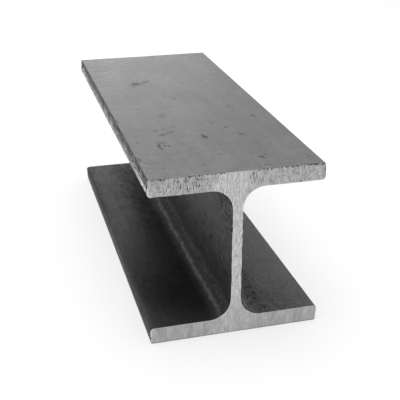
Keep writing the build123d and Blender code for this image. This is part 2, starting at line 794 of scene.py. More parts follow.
@dataclass(frozen=True)
class MillScale:
    """Grey scale of hot rolling: darker and grainy inside the channels, partly darker scale and partly
    painted shade, and brighter on the outer faces, whose rubbed edges are partly a painted reflection of the
    floor.

    A tone is a grey, a swing is how far noise moves something to either side, limits are the levels between
    which something comes up, and a share is how strongly it shows. A pair of swings is for the outer faces
    and for the channels.
    """

    outer_tone: float = 0.235
    inner_tone: float = 0.082
    worn_and_highlight_tone: float = 0.52
    ridge_highlight_tone: float = 0.33
    grime_and_shade_tone: float = 0.02
    metallic: float = 0.85
    roughness: float = 0.32
    inner_roughness: float = 0.42
    roughness_swing: float = 0.05
    grime_roughness: float = 0.45
    cloud: Texture = Texture(48.0, 4.0, 0.5, DRAWN_OUT)
    cloud_swings: Range = (0.06, 0.16)
    bands: Texture = Texture(80.0, 4.0, 0.65, (1.0, 0.14, 1.0))
    bands_swings: Range = (0.08, 0.0)
    mottle: Texture = Texture(270.0, 4.0, 0.6, DRAWN_OUT)
    mottle_swings: Range = (0.06, 0.11)
    mottle_bump: float = 0.05 * MM
    grain: Texture = Texture(700.0, 2.0, 0.55)
    grain_swings: Range = (0.03, 0.16)
    grain_bump: float = 0.014 * MM
    gravel: Texture = Texture(760.0, 2.0, 0.6, (1.0, 0.35, 1.0))
    ridge_highlight_swing: float = 0.28
    ridge_highlight_limits: Range = (0.27, 0.97)
    grit_limits: Range = (0.46, 0.62)
    grit_share: float = 0.7
    streak: Texture = Texture(1.0, 4.0, 0.65, (800.0, 85.0, 1.0))
    worn_swing: float = 0.4
    bare_swing: float = 0.45
    bare_limits: Range = (0.15, 0.9)
    least_wear: float = 0.12
    crumbs: Texture = Texture(900.0, 2.0, 0.6)
    streaky_swing: float = -0.25
    crumbly_swing: float = 0.2
    blotchy_swing: float = 0.08
    thin_grime_and_shade: float = 0.3
    full_grime_and_shade: float = 1.1
    bare_grime_and_shade_share: float = 0.15
    specks: Texture = Texture(640.0, 2.0, 0.5, DRAWN_OUT)
    speck_clusters: Range = (-0.06, 0.03)
    speck_limits: Range = (0.68, 0.76)
    speck_share: float = 0.3
    flakes: Texture = Texture(500.0, 3.0, 0.65, DRAWN_OUT)
    flake_limits: Range = (0.52, 0.62)
    flake_share: float = 0.52
    chips: EdgeChips = EdgeChips()
    chip_share: float = 0.9
    wobble_scale: float = 650.0
    wobble_reach: Triple = (2.4 * MM, 4.5 * MM, 0.0)
    mark_edge: Range = (1.2, 0.35)
    mark_swing: float = -0.45
    mark_limits: Range = (0.35, 0.6)
    mark_shares: Range = (0.4, 1.1)

    def material(self) -> bpy.types.Material:
        """The finish as a node material.

        Returns:
            The material: tone, roughness and bump from noise at several sizes, darker in the channels partly
                as painted shade, with rubbed edges that are partly a painted reflection of the floor, a
                painted highlight on the fillet ridges, grime with painted shade, marks, specks and streaks.
        """
        material, graph = new_material("mill_scale")
        places = graph.add("ShaderNodeTexCoord").outputs["Object"]
        rolled = graph.add("ShaderNodeUVMap", uv_map=STREAK_MAP).outputs["UV"]
        cloud = graph.noise(places, self.cloud)
        mottle = graph.noise(places, self.mottle)
        grain = graph.noise(places, self.grain)
        streak = graph.noise(rolled, self.streak)
        flakes = graph.noise(places, self.flakes)
        crumbs = graph.noise(places, self.crumbs)
        gravel = graph.noise(places, self.gravel)
        scale_and_shade = graph.attribute("scale_and_shade")
        wear = graph.attribute("wear")
        grime_and_shade = graph.attribute("grime_and_shade")

        # Scale as rolled, darker in the channels partly as painted shade: clouds, bands along the beam,
        # blotches and grain
        grained = graph.product(graph.sway(grain, 1.0), graph.blend(*self.grain_swings, scale_and_shade))
        tone = graph.product(
            graph.blend(self.outer_tone, self.inner_tone, scale_and_shade),
            self.varied(graph, cloud, self.cloud_swings, scale_and_shade),
            self.varied(graph, graph.noise(places, self.bands), self.bands_swings, scale_and_shade),
            self.varied(graph, mottle, self.mottle_swings, scale_and_shade),
            graph.total(1.0, grained),
        )

        # Painted highlight along the ridges of the fillets, with ragged sides: the ridges are real relief,
        # their bright tone is painted
        ragged = graph.sway(gravel, self.ridge_highlight_swing, STEEP)
        ridge = graph.ease(graph.total(graph.attribute("ridge"), ragged), *self.ridge_highlight_limits)
        tone = graph.blend(tone, self.ridge_highlight_tone, ridge)

        # Rubbed flange edges, streaked along the beam: partly real wear and partly a painted reflection of
        # the floor on the edges' lower part
        streaked = graph.swing(streak, 1.0 - self.worn_swing, 1.0 + self.worn_swing)
        uneven = graph.total(wear, graph.sway(streak, self.bare_swing, STEEP))
        bared = graph.ease(uneven, *self.bare_limits)
        bared = graph.product(bared, graph.ease(wear, 0.0, self.least_wear))
        tone = graph.blend(tone, graph.product(self.worn_and_highlight_tone, streaked), bared)

        # Grime with painted shade: streaky and crumbly outside, blotchy in the channels, thin where the edge
        # is rubbed
        streaky = graph.sway(streak, self.streaky_swing, STEEP)
        crumbly = graph.sway(crumbs, self.crumbly_swing, STEEP)
        outside = graph.product(graph.total(streaky, crumbly), graph.ease(grime_and_shade, 0.0, self.thin_grime_and_shade))
        inside = graph.sway(mottle, self.blotchy_swing)
        thick = graph.total(grime_and_shade, graph.blend(outside, inside, scale_and_shade))
        left_on = graph.ease(bared, 0.0, 1.0, 1.0, self.bare_grime_and_shade_share)
        caked_and_shaded = graph.product(graph.ease(thick, 0.0, self.full_grime_and_shade), left_on)

        # Specks, crumbs of scale, grit, chipped edges and marks, laid with the grime and its painted shade
        clustered = graph.swing(cloud, *self.speck_clusters, STEEP)
        clustered = graph.total(graph.noise(places, self.specks), clustered)
        speck = graph.product(graph.ease(clustered, *self.speck_limits), self.speck_share)
        crumbled = graph.ease(flakes, *self.flake_limits)
        crumbled = graph.product(crumbled, graph.attribute("speckle"), self.flake_share)
        gritty = graph.ease(gravel, *self.grit_limits)
        gritty = graph.product(gritty, graph.attribute("grit"), self.grit_share)
        from_end = graph.math("SUBTRACT", cad_box[1][1], graph.math("ABSOLUTE", graph.axes(places)[1]))
        exposed = graph.math("SUBTRACT", self.chip_share, scale_and_shade)
        chips = graph.product(self.chips.darkness(graph, places, from_end), exposed)
        crumbling = graph.ease(crumbs, *self.mark_limits, *self.mark_shares)
        broken = graph.product(self.marks(graph, places, flakes), crumbling)
        dark = graph.covered(broken, chips, speck, crumbled, gritty, caked_and_shaded)
        tone = graph.blend(tone, self.grime_and_shade_tone, dark)

        roughness = graph.total(
            graph.blend(self.roughness, self.inner_roughness, scale_and_shade),
            graph.sway(mottle, self.roughness_swing),
            graph.product(dark, self.grime_roughness),
        )
        normal = graph.bump(grain, self.grain_bump, graph.bump(mottle, self.mottle_bump))
        graph.metal(tone, self.metallic, roughness, normal)
        return material

    def varied(self, graph: NodeGraph, noise: Socket, swings: Range, scale_and_shade: Socket) -> Socket:
        """Factor about 1 that follows noise.

        Args:
            graph: Graph to build in.
            noise: Noise to follow.
            swings: How far the factor goes below and above 1 on the outer faces, and in the channels.
            scale_and_shade: 0 on the outer faces and 1 in the channels, partly darker scale and partly
                painted shade.

        Returns:
            The factor.
        """
        outer, inner = swings
        low = graph.blend(1.0 - outer, 1.0 - inner, scale_and_shade)
        high = graph.blend(1.0 + outer, 1.0 + inner, scale_and_shade)
        return graph.swing(noise, low, high)

    def marks(self, graph: NodeGraph, places: Socket, flakes: Socket) -> Socket:
        """Darkness of the marks on the upper flange: each is an ellipse that wobbles and whose edge is
        flaky.

        Args:
            graph: Graph to build in.
            places: Object coordinates.
            flakes: Noise that breaks up the edges.

        Returns:
            Darkness from 0 to 1.
        """
        inputs = {"Vector": places, "Scale": self.wobble_scale, "Detail": 2.0}
        wobble = graph.add("ShaderNodeTexNoise", inputs).outputs["Color"]
        centred = graph.vector("SUBTRACT", wobble, (0.5, 0.5, 0.5)).outputs[0]
        uneven = graph.vector("ADD", places, graph.stretched(centred, self.wobble_reach)).outputs[0]
        flaky = graph.sway(flakes, self.mark_swing)
        darkest: Value = 0.0
        for mark in TOP_MARKS:
            placed = graph.add(
                "ShaderNodeMapping",
                {
                    "Vector": uneven,
                    "Location": (mark.across * MM, mark.along * MM, cad_box[1][2]),
                    "Rotation": (0.0, 0.0, math.radians(mark.turn)),
                    "Scale": (mark.length / 2 * MM, mark.width / 2 * MM, 1.0 * MM),
                },
                vector_type="TEXTURE",
            ).outputs[0]
            reach = graph.total(graph.vector("LENGTH", placed).outputs["Value"], flaky)
            darkest = graph.largest(darkest, graph.ease(reach, *self.mark_edge, 0.0, mark.strength))
        return darkest


@dataclass(frozen=True)
class Scuff:
    """A patch of a sawn end with more dark strokes than the rest.

    Attributes:
        across: Place of its middle across the beam, in millimetres.
        up: Place of its middle above the floor, in millimetres.
        length: Its length across, in millimetres.
        height: Its height, in millimetres.
        strength: How dense its strokes are: scattered below 1, and nearly solid at 2.
    """

    across: float
    up: float
    length: float
    height: float
    strength: float


END_SCUFFS = (
    Scuff(-30, 95, 44, 14, 1.0),
    Scuff(-23, 95, 16, 12, 1.15),
    Scuff(8, 95.5, 11, 12, 1.05),
    Scuff(33, 97, 38, 10, 0.55),
    Scuff(3, 72, 3, 30, 0.6),
    Scuff(2, 53, 2, 14, 0.7),
    Scuff(-36, 3, 24, 8, 0.3),
    Scuff(-23.3, 94.7, 1.2, 6, 2.0),
    Scuff(-28.5, 93.6, 1.1, 7, 1.7),
    Scuff(-24.8, 93.5, 0.9, 4.5, 1.5),
    Scuff(6.4, 95.6, 1.1, 5, 1.9),
    Scuff(8, 95, 0.9, 4, 1.5),
    Scuff(-11.5, 94.7, 1.2, 2.4, 1.7),
    Scuff(-16.3, 93.7, 1.2, 2, 1.7),
    Scuff(-42.7, 92.7, 1.3, 1.8, 1.7),
    Scuff(-34.2, 96, 1.2, 2.4, 1.6),
    Scuff(35.6, 90.7, 2.4, 1.6, 2.2),
    Scuff(-6.8, 2.4, 1.4, 6, 1.2),
    Scuff(49.6, 95.5, 2.0, 10, 2.4),
    Scuff(47.6, 99.2, 5, 1.6, 2.0),
)


@dataclass(frozen=True)
class SawnSteel:
    """Bright steel of the sawn ends: upright saw lines, scuffs, dark strokes, a bright burr that is partly a
    painted highlight, painted shade low down and a painted contact shadow at the foot.

    A tone is a grey or a factor of one, an edge is a pair of distances between which the cut changes, limits
    are the levels between which something comes up, and a share is how strongly it shows. A pair of lows,
    highs or tones is for the lively part of the cut and for the calm part.
    """

    tone: float = 0.725
    line_tone: float = 0.32
    burr_highlight_tone: float = 0.92
    stroke_and_shadow_tone: float = 0.06
    metallic: float = 1.0
    roughness: float = 0.42
    roughness_swing: float = 0.06
    fine: Texture = Texture(1.0, 3.0, 0.65, (1500.0, 40.0, 210.0))
    line_limits: Range = (0.32, 0.68)
    line_bump: float = 0.04 * MM
    grit: Texture = Texture(1.0, 2.0, 0.6, (1500.0, 40.0, 900.0))
    grit_edge: Range = (8.0 * MM, 20.0 * MM)
    grit_shares: Range = (0.25, 0.55)
    calm_grit_share: float = 0.15
    calm_edge: Range = (12.0 * MM, 38.0 * MM)
    calm_share: float = 0.5
    low_shade_tone: float = 0.91
    broad: Texture = Texture(1.0, 2.0, 0.5, (170.0, 40.0, 30.0))
    broad_lows: Range = (0.94, 0.86)
    broad_highs: Range = (1.05, 1.12)
    patchy: Texture = Texture(1.0, 2.0, 0.5, (420.0, 40.0, 180.0))
    patch_edge: Range = (4.0 * MM, 12.0 * MM)
    patch_lows: Range = (0.86, 0.94)
    patch_highs: Range = (1.12, 1.06)
    bright_place: float = -3.0 * MM
    dull_edge: Range = (4.0 * MM, 17.0 * MM)
    dull_tones: Range = (0.81, 0.86)
    burr_highlight_limits: Range = (0.3, 0.5)
    burr_highlight_share: float = 0.85
    strokes: Texture = Texture(1.0, 2.0, 0.6, (1300.0, 40.0, 300.0))
    stroke_limits: Range = (0.66, 0.76)
    stroke_share: float = 0.85
    scuff_edge: Range = (1.0, 0.3)
    scuff_share: float = 0.15
    foot_shadow_edge: Range = (0.1 * MM, 0.9 * MM)
    foot_shadow_share: float = 0.75
    foot_shadow_limits: Range = (0.3, 0.6)
    foot_shadow_shares: Range = (0.4, 1.0)
    chips: EdgeChips = EdgeChips()
    side_overlap: float = 0.5 * MM

    def material(self) -> bpy.types.Material:
        """The finish as a node material.

        Returns:
            The material: fine upright lines over broad ones, duller on the flanges than on the web, calmer
                low down and darker there as painted shade, with dark strokes, a bright burr that is partly a
                painted highlight, chipped edges and a painted contact shadow at the foot.
        """
        material, graph = new_material("sawn_steel")
        places = graph.add("ShaderNodeTexCoord").outputs["Object"]
        grit = graph.noise(places, self.grit)
        broad = graph.noise(places, self.broad)
        patchy = graph.noise(places, self.patchy)
        across, _, up = graph.axes(places)
        off_middle = graph.math("ABSOLUTE", across)
        off_bright = graph.math("ABSOLUTE", graph.math("SUBTRACT", across, self.bright_place))

        # Saw lines: calm low down, long on the web and gritty on the flanges
        calm = graph.ease(up, *self.calm_edge, 1.0, 0.0)
        even = graph.largest(calm, graph.ease(off_middle, *self.patch_edge, 1.0, 0.0))
        gritty = graph.ease(off_middle, *self.grit_edge, *self.grit_shares)
        gritty = graph.blend(gritty, self.calm_grit_share, calm)
        lines = graph.blend(graph.noise(places, self.fine), grit, gritty)
        tone = graph.blend(self.line_tone, self.tone, graph.ease(lines, *self.line_limits))
        middle_tone = 0.5 * (self.tone + self.line_tone)
        tone = graph.blend(tone, middle_tone, graph.product(calm, self.calm_share))
        # Darker low down: painted shade, the floor's shadow that the lower flange reflects
        tone = graph.product(
            tone,
            graph.swing(broad, graph.blend(*self.broad_lows, calm), graph.blend(*self.broad_highs, calm)),
            graph.swing(patchy, graph.blend(*self.patch_lows, even), graph.blend(*self.patch_highs, even)),
            graph.ease(off_bright, *self.dull_edge, 1.0, graph.blend(*self.dull_tones, calm)),
            graph.blend(1.0, self.low_shade_tone, calm),
        )

        # Burr, brightened partly as a painted highlight, dark strokes, chipped edges and a painted contact
        # shadow at the foot
        burr = graph.product(graph.attribute("burr"), graph.ease(grit, *self.burr_highlight_limits), self.burr_highlight_share)
        tone = graph.blend(tone, self.burr_highlight_tone, burr)
        denser = graph.product(self.scuffed(graph, places), self.scuff_share)
        stroke = graph.total(graph.noise(places, self.strokes), denser)
        stroke = graph.product(graph.ease(stroke, *self.stroke_limits), self.stroke_share)
        from_top = graph.math("SUBTRACT", cad_box[1][2], up)
        from_side = graph.math("SUBTRACT", cad_box[1][0] + self.side_overlap, off_middle)
        chips = self.chips.darkness(graph, places, graph.math("MINIMUM", from_top, from_side))
        # Painted contact shadow: a dark band along the foot of the end
        foot_shadow = graph.ease(up, *self.foot_shadow_edge, self.foot_shadow_share, 0.0)
        foot_shadow = graph.product(foot_shadow, graph.ease(grit, *self.foot_shadow_limits, *self.foot_shadow_shares))
        tone = graph.blend(tone, self.stroke_and_shadow_tone, graph.largest(stroke, chips, foot_shadow))

        roughness = graph.total(self.roughness, graph.sway(broad, self.roughness_swing))
        graph.metal(tone, self.metallic, roughness, graph.bump(lines, self.line_bump))
        return material

    def scuffed(self, graph: NodeGraph, places: Socket) -> Socket:
        """Density of the dark strokes: each scuff is a soft ellipse on both ends.

        Args:
            graph: Graph to build in.
            places: Object coordinates.

        Returns:
            Density, 0 away from the scuffs and each one's strength in its middle.
        """
        densest: Value = 0.0
        for scuff in END_SCUFFS:
            shift = graph.vector("SUBTRACT", places, (scuff.across * MM, 0.0, scuff.up * MM)).outputs[0]
            size = (2.0 / (scuff.length * MM), 0.0, 2.0 / (scuff.height * MM))
            reach = graph.vector("LENGTH", graph.stretched(shift, size)).outputs["Value"]
            densest = graph.largest(densest, graph.ease(reach, *self.scuff_edge, 0.0, scuff.strength))
        return densest


@dataclass(frozen=True)
class StudioFloor:
    """White studio floor: a little diffuse, so that it keeps the beam's shadow, and white by itself to
    the eye and in reflections."""

    shade: float = 0.42
    glow: float = 0.635

    def material(self) -> bpy.types.Material:
        """The finish as a node material.

        Returns:
            The material: a diffuse part that takes the shadow, and a glow for the eye and for
            reflections only.
        """
        material, graph = new_material("studio_floor")
        path = graph.add("ShaderNodeLightPath").outputs
        seen = graph.largest(path["Is Camera Ray"], path["Is Glossy Ray"], path["Is Transmission Ray"])
        matt = graph.add("ShaderNodeBsdfDiffuse", {"Color": (self.shade, self.shade, self.shade, 1.0)})
        glow = graph.add("ShaderNodeEmission", {"Strength": graph.product(seen, self.glow)})
        graph.surface(graph.add("ShaderNodeAddShader", {0: matt.outputs[0], 1: glow.outputs[0]}))
        return material


@dataclass(frozen=True)
class SkinWearAndPaintedLight:
    """Where scale, wear, dirt and painted light and shade lie round the section: each method gives one
    number a place of the outline, straight between the ones that it names."""

    outline: Outline

    def burr(self) -> Array:
        """Share of the full burr at the sawn edge: full round the upper left lip and under that flange,
        strong on the lower left lip, and low elsewhere. The ends paint it bright, partly as a painted
        highlight where the edge catches the light.

        Returns:
            One number a place.
        """
        at, corner = self.outline, SectionCorner
        levels = {
            at.end(corner.LOWER_LEFT_TOE): 0.0,
            at.start(corner.LOWER_RIGHT_TOE): 0.0,
            at.end(corner.LOWER_RIGHT_TOE): 0.3,
            at.end(corner.LOWER_RIGHT_LIP): 0.15,
            at.start(corner.UPPER_RIGHT_LIP): 0.15,
            at.end(corner.UPPER_RIGHT_LIP): 0.1,
            at.end(corner.UPPER_RIGHT_TOE): 0.0,
            at.on_run(corner.UPPER_LEFT_TOE, 0.3): 0.0,
            at.on_run(corner.UPPER_LEFT_TOE, 0.8): 0.8,
            at.end(corner.UPPER_LEFT_LIP): 1.0,
            at.on_run(corner.UPPER_LEFT_LIP, 0.7): 1.0,
            at.start(corner.UPPER_LEFT_ROOT): 0.3,
            at.start(corner.LOWER_LEFT_ROOT): 0.3,
            at.start(corner.LOWER_LEFT_LIP): 0.15,
            at.on_arc(corner.LOWER_LEFT_LIP, 0.5): 0.8,
            at.on_run(corner.LOWER_LEFT_LIP, 0.7): 0.6,
        }
        return at.profile(levels)

    def scale_and_shade(self) -> Array:
        """How dark the surface is: 0 on the outer faces, and up to 1 in the channels and on the lower
        flange's edges. It is partly darker scale and partly painted shade, strongest in the left channel and
        high on the left of the web under the upper flange.

        Returns:
            One number a place.
        """
        at, corner = self.outline, SectionCorner
        levels = {
            at.end(corner.LOWER_LEFT_TOE): 0.0,
            at.start(corner.LOWER_RIGHT_TOE): 0.0,
            at.end(corner.LOWER_RIGHT_TOE): 1.0,
            at.end(corner.LOWER_RIGHT_LIP): 0.73,
            at.start(corner.UPPER_RIGHT_LIP): 0.8,
            at.end(corner.UPPER_RIGHT_LIP): 0.0,
            at.start(corner.UPPER_LEFT_LIP): 0.0,
            at.end(corner.UPPER_LEFT_LIP): 1.0,
            at.on_run(corner.UPPER_LEFT_ROOT, 0.3): 0.94,
            at.on_run(corner.UPPER_LEFT_ROOT, 0.6): 0.7,
            at.on_run(corner.UPPER_LEFT_ROOT, 0.8): 0.38,
            at.on_run(corner.UPPER_LEFT_ROOT, 0.95): 0.16,
            at.start(corner.LOWER_LEFT_ROOT): 0.4,
            at.on_arc(corner.LOWER_LEFT_ROOT, 0.2): 0.88,
            at.on_arc(corner.LOWER_LEFT_ROOT, 0.5): 0.9,
            at.end(corner.LOWER_LEFT_ROOT): 0.93,
            at.start(corner.LOWER_LEFT_LIP): 0.9,
            at.on_arc(corner.LOWER_LEFT_LIP, 0.5): 0.8,
            at.end(corner.LOWER_LEFT_LIP): 0.95,
            at.start(corner.LOWER_LEFT_TOE): 1.0,
        }
        return at.profile(levels)

    def wear(self) -> Array:
        """How far the scale is rubbed off and brightened: on the upper flange's edges, most at the lip and
        hardly above the middle. The brightening is partly real wear and partly a painted reflection of the
        floor.

        Returns:
            One number a place.
        """
        at, corner = self.outline, SectionCorner
        levels = {
            at.start(corner.UPPER_RIGHT_LIP): 0.0,
            at.on_arc(corner.UPPER_RIGHT_LIP, 0.35): 1.0,
            at.on_run(corner.UPPER_RIGHT_LIP, 0.25): 0.8,
            at.on_run(corner.UPPER_RIGHT_LIP, 0.5): 0.15,
            at.start(corner.UPPER_RIGHT_TOE): 0.0,
            at.end(corner.UPPER_LEFT_TOE): 0.0,
            at.on_run(corner.UPPER_LEFT_TOE, 0.5): 0.15,
            at.on_run(corner.UPPER_LEFT_TOE, 0.75): 0.8,
            at.on_arc(corner.UPPER_LEFT_LIP, 0.65): 1.0,
            at.end(corner.UPPER_LEFT_LIP): 0.0,
        }
        return at.profile(levels)

    def grime_and_shade(self) -> Array:
        """How thick dark scale, dirt and painted shade lie: by the upper flange's outer corners, where a
        band of painted shade stands for the rounded corner's dark reflection, deep in the channels, most
        where the flange runs into the root, where it is a painted shadow of the upper flange, and on the
        lower flange's edges.

        Returns:
            One number a place.
        """
        at, corner = self.outline, SectionCorner
        levels = {
            at.start(corner.LOWER_RIGHT_TOE): 0.0,
            at.end(corner.LOWER_RIGHT_TOE): 0.65,
            at.on_run(corner.LOWER_RIGHT_TOE, 0.8): 0.7,
            at.on_arc(corner.LOWER_RIGHT_LIP, 0.5): 0.8,
            at.on_arc(corner.LOWER_RIGHT_LIP, 0.8): 0.3,
            at.end(corner.LOWER_RIGHT_LIP): 0.05,
            at.on_run(corner.LOWER_RIGHT_LIP, 0.65): 0.05,
            at.on_run(corner.LOWER_RIGHT_LIP, 0.85): 0.25,
            at.start(corner.LOWER_RIGHT_ROOT): 0.32,
            at.end(corner.LOWER_RIGHT_ROOT): 0.3,
            at.on_run(corner.LOWER_RIGHT_ROOT, 0.3): 0.05,
            at.start(corner.UPPER_RIGHT_ROOT): 0.2,
            at.end(corner.UPPER_RIGHT_ROOT): 0.2,
            at.end(corner.UPPER_RIGHT_LIP): 0.0,
            at.on_run(corner.UPPER_RIGHT_LIP, 0.1): 0.26,
            at.on_run(corner.UPPER_RIGHT_LIP, 0.38): 0.44,
            at.on_run(corner.UPPER_RIGHT_LIP, 0.6): 0.58,
            at.on_run(corner.UPPER_RIGHT_LIP, 0.75): 0.68,
            at.start(corner.UPPER_RIGHT_TOE): 0.64,
            at.on_arc(corner.UPPER_RIGHT_TOE, 0.75): 0.5,
            at.end(corner.UPPER_RIGHT_TOE): 0.2,
            at.end(corner.UPPER_RIGHT_TOE) + 1: 0.0,
            at.start(corner.UPPER_LEFT_TOE) - 1: 0.0,
            at.start(corner.UPPER_LEFT_TOE): 0.08,
            at.end(corner.UPPER_LEFT_TOE): 0.64,
            at.on_run(corner.UPPER_LEFT_TOE, 0.25): 0.68,
            at.on_run(corner.UPPER_LEFT_TOE, 0.4): 0.58,
            at.on_run(corner.UPPER_LEFT_TOE, 0.62): 0.44,
            at.on_run(corner.UPPER_LEFT_TOE, 0.9): 0.26,
            at.end(corner.UPPER_LEFT_LIP): 0.0,
            at.start(corner.UPPER_LEFT_ROOT): 0.3,
            at.end(corner.UPPER_LEFT_ROOT): 0.45,
            at.on_run(corner.UPPER_LEFT_ROOT, 0.2): 0.25,
            at.on_run(corner.UPPER_LEFT_ROOT, 0.4): 0.1,
            at.on_run(corner.UPPER_LEFT_ROOT, 0.6): 0.0,
            at.start(corner.LOWER_LEFT_ROOT): 0.0,
            at.on_arc(corner.LOWER_LEFT_ROOT, 0.5): 0.03,
            at.on_arc(corner.LOWER_LEFT_ROOT, 0.75): 0.32,
            at.end(corner.LOWER_LEFT_ROOT): 0.6,
            at.on_run(corner.LOWER_LEFT_ROOT, 0.25): 0.52,
            at.on_run(corner.LOWER_LEFT_ROOT, 0.5): 0.29,
            at.on_run(corner.LOWER_LEFT_ROOT, 0.75): 0.17,
            at.start(corner.LOWER_LEFT_LIP): 0.14,
            at.on_arc(corner.LOWER_LEFT_LIP, 0.4): 0.06,
            at.on_arc(corner.LOWER_LEFT_LIP, 0.65): 0.18,
            at.end(corner.LOWER_LEFT_LIP): 0.6,
            at.on_run(corner.LOWER_LEFT_LIP, 0.3): 0.6,
            at.start(corner.LOWER_LEFT_TOE): 0.35,
            at.end(corner.LOWER_LEFT_TOE): 0.0,
        }
        return at.profile(levels)

    def seat_shade(self) -> Array:
        """How thick the painted shade is: on the lower flange's left seat, and a little on its lip and edge.

        Returns:
            One number a place.
        """
        at, corner = self.outline, SectionCorner
        levels = {
            at.on_arc(corner.LOWER_LEFT_ROOT, 0.5): 0.0,
            at.end(corner.LOWER_LEFT_ROOT): 0.35,
            at.on_run(corner.LOWER_LEFT_ROOT, 0.28): 0.55,
            at.on_run(corner.LOWER_LEFT_ROOT, 0.5): 1.0,
            at.on_run(corner.LOWER_LEFT_ROOT, 0.8): 0.95,
            at.start(corner.LOWER_LEFT_LIP): 0.7,
            at.on_arc(corner.LOWER_LEFT_LIP, 0.6): 0.35,
            at.end(corner.LOWER_LEFT_LIP): 0.25,
            at.on_run(corner.LOWER_LEFT_LIP, 0.4): 0.1,
            at.start(corner.LOWER_LEFT_TOE): 0.0,
        }
        return at.profile(levels)

    def smear(self) -> Array:
        """How thick dirt is smeared over the lower flange's left lip.

        Returns:
            One number a place.
        """
        at, corner = self.outline, SectionCorner
        levels = {
            at.on_run(corner.LOWER_LEFT_ROOT, 0.9): 0.0,
            at.on_arc(corner.LOWER_LEFT_LIP, 0.2): 0.8,
            at.on_arc(corner.LOWER_LEFT_LIP, 0.5): 1.0,
            at.on_arc(corner.LOWER_LEFT_LIP, 0.8): 0.6,
            at.end(corner.LOWER_LEFT_LIP): 0.0,
        }
        return at.profile(levels)

    def end_light(self) -> Array:
        """How far grime and painted shade are lifted near the ends, as painted light where the channels
        open: inside the channels only.

        Returns:
            One number a place.
        """
        at, corner = self.outline, SectionCorner
        levels = {
            at.on_arc(corner.LOWER_RIGHT_LIP, 0.7): 0.0,
            at.end(corner.LOWER_RIGHT_LIP): 1.0,
            at.start(corner.UPPER_RIGHT_LIP): 1.0,
            at.on_arc(corner.UPPER_RIGHT_LIP, 0.3): 0.0,
            at.on_arc(corner.UPPER_LEFT_LIP, 0.7): 0.0,
            at.end(corner.UPPER_LEFT_LIP): 1.0,
            at.start(corner.LOWER_LEFT_LIP): 1.0,
            at.on_arc(corner.LOWER_LEFT_LIP, 0.3): 0.0,
        }
        return at.profile(levels)

    def speckle(self) -> Array:
        """How thickly dark crumbs of scale lie: by the right roots and high on the left of the web.

        Returns:
            One number a place.
        """
        at, corner = self.outline, SectionCorner
        levels = {
            at.on_run(corner.LOWER_RIGHT_LIP, 0.55): 0.0,
            at.on_run(corner.LOWER_RIGHT_LIP, 0.85): 0.9,
            at.on_arc(corner.LOWER_RIGHT_ROOT, 0.5): 0.9,
            at.on_run(corner.LOWER_RIGHT_ROOT, 0.3): 0.2,
            at.on_run(corner.LOWER_RIGHT_ROOT, 0.7): 0.2,
            at.start(corner.UPPER_RIGHT_ROOT): 0.7,
            at.on_run(corner.UPPER_RIGHT_ROOT, 0.5): 0.2,
            at.start(corner.UPPER_RIGHT_LIP): 0.0,
            at.end(corner.UPPER_LEFT_LIP): 0.0,
            at.on_run(corner.UPPER_LEFT_LIP, 0.5): 0.2,
            at.end(corner.UPPER_LEFT_ROOT): 0.4,
            at.on_run(corner.UPPER_LEFT_ROOT, 0.3): 0.0,
            at.end(corner.LOWER_LEFT_ROOT): 0.0,
        }
        return at.profile(levels)

    def grit(self) -> Array:
        """How thickly fine dark grit lies along the whole beam: in the root fillets, beside their
        ridges, and thinly on the web and the seats.

        Returns:
            One number a place.
        """
        at, corner = self.outline, SectionCorner
        levels = {
            at.end(corner.LOWER_RIGHT_LIP): 0.05,
            at.start(corner.LOWER_RIGHT_ROOT): 0.3,
            at.on_arc(corner.LOWER_RIGHT_ROOT, 0.5): 0.7,
            at.end(corner.LOWER_RIGHT_ROOT): 0.2,
            at.start(corner.UPPER_RIGHT_ROOT): 0.2,
            at.on_arc(corner.UPPER_RIGHT_ROOT, 0.5): 0.7,
            at.end(corner.UPPER_RIGHT_ROOT): 0.2,
            at.start(corner.UPPER_RIGHT_LIP): 0.0,
            at.end(corner.UPPER_LEFT_LIP): 0.0,
            at.start(corner.UPPER_LEFT_ROOT): 0.2,
            at.on_arc(corner.UPPER_LEFT_ROOT, 0.5): 0.7,
            at.end(corner.UPPER_LEFT_ROOT): 0.2,
            at.on_run(corner.UPPER_LEFT_ROOT, 0.5): 0.1,
            at.start(corner.LOWER_LEFT_ROOT): 0.2,
            at.on_arc(corner.LOWER_LEFT_ROOT, 0.3): 0.65,
            at.on_arc(corner.LOWER_LEFT_ROOT, 0.6): 0.5,
            at.on_arc(corner.LOWER_LEFT_ROOT, 0.8): 0.1,
            at.start(corner.LOWER_LEFT_LIP): 0.15,
            at.end(corner.LOWER_LEFT_LIP): 0.0,
        }
        return at.profile(levels)

